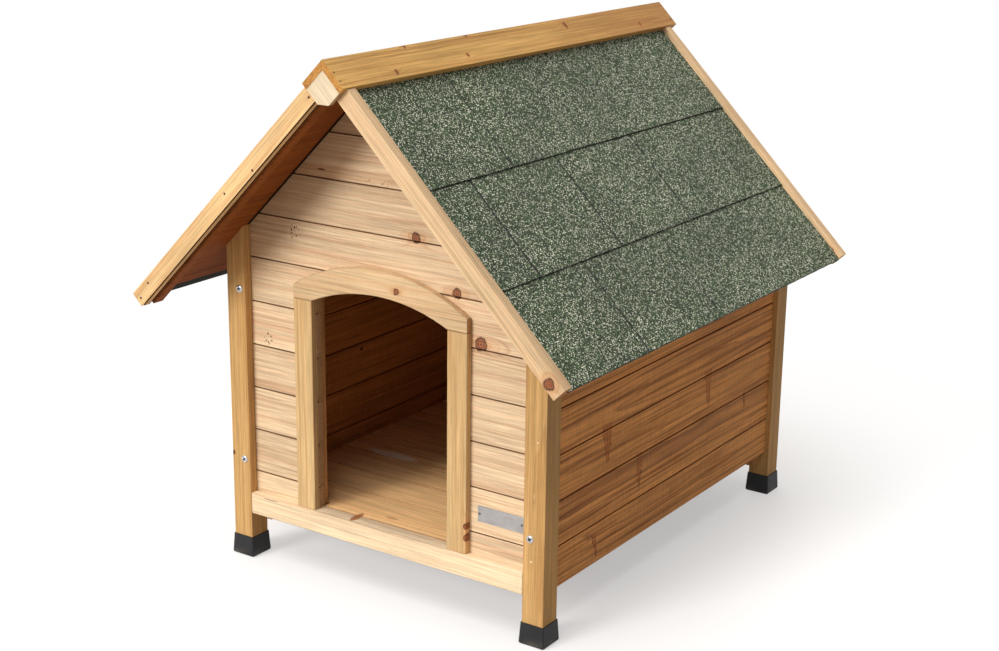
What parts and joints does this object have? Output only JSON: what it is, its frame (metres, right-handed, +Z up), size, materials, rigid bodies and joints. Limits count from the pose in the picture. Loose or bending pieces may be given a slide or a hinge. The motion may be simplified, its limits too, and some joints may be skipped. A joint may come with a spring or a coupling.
{
  "type": "dog house",
  "caption": "Wooden kennel with tongue-and-groove walls, an arched doorway, a felted saddle roof, plastic foot caps and a lift-out board floor.",
  "frame": {"origin": "on the ground at the middle of the outline's length and width", "axes": "+Z up, the doorway faces -Y, +X to the right seen from the front"},
  "size_m": [0.7778, 0.9204, 0.8321],
  "materials": {
    "post_wood": "oiled, satin",
    "front_wood": "oiled, satin",
    "side_wood": "oiled, satin",
    "trim_wood": "oiled, satin",
    "barge_wood": "oiled, satin",
    "ridge_wood": "oiled, satin",
    "deck_wood": "stained",
    "floor_wood": "planed",
    "batten_wood": "planed",
    "roofing_felt": "green mineral granules on bitumen felt",
    "foot_plastic": "matte",
    "zinc_screws": "zinc plated",
    "steel_pins": "satin",
    "plate_metal": "brushed"
  },
  "bodies": {
    "house": {"barge_board_front_left": "barge_wood", "barge_board_front_right": "barge_wood", "barge_board_rear_left": "barge_wood", "barge_board_rear_right": "barge_wood", "cap_nails": "zinc_screws", "door_arch": "trim_wood", "door_jamb_left": "trim_wood", "door_jamb_right": "trim_wood", "floor_bearer_left": "batten_wood", "floor_bearer_right": "batten_wood", "foot_cap_front_left": "foot_plastic", "foot_cap_front_right": "foot_plastic", "foot_cap_rear_left": "foot_plastic", "foot_cap_rear_right": "foot_plastic", "front_board_01": "front_wood", "front_board_02_left": "front_wood", "front_board_02_right": "front_wood", "front_board_03_left": "front_wood", "front_board_03_right": "front_wood", "front_board_04_left": "front_wood", "front_board_04_right": "front_wood", "front_board_05_left": "front_wood", "front_board_05_right": "front_wood", "front_board_06": "front_wood", "front_board_07": "front_wood", "front_board_08": "front_wood", "front_board_09": "front_wood", "front_board_10": "front_wood", "front_board_11": "front_wood", "front_rafters": "deck_wood", "front_rail": "trim_wood", "front_wall_battens": "batten_wood", "name_plate": "plate_metal", "plate_pins": "steel_pins", "post_front_left": "post_wood", "post_front_right": "post_wood", "post_rear_left": "post_wood", "post_rear_right": "post_wood", "post_screws": "zinc_screws", "rear_boards": "side_wood", "rear_rail": "trim_wood", "rear_wall_battens": "batten_wood", "ridge_cap_left": "ridge_wood", "ridge_cap_right": "ridge_wood", "ridge_end_plates": "trim_wood", "roof_deck_left": "deck_wood", "roof_deck_right": "deck_wood", "roofing_felt_left_1": "roofing_felt", "roofing_felt_left_2": "roofing_felt", "roofing_felt_left_3": "roofing_felt", "roofing_felt_right_1": "roofing_felt", "roofing_felt_right_2": "roofing_felt", "roofing_felt_right_3": "roofing_felt", "side_battens": "batten_wood", "side_boards_left": "side_wood", "side_boards_right": "side_wood", "top_plate_left": "batten_wood", "top_plate_right": "batten_wood"},
    "floor": {"floor_boards": "floor_wood", "floor_battens": "batten_wood"}
  },
  "joints": [
    {"name": "floor_lift", "type": "slide", "parent": "house", "child": "floor", "axis": [0, 0, 1], "range_m": [0, 0.1]}
  ]
}
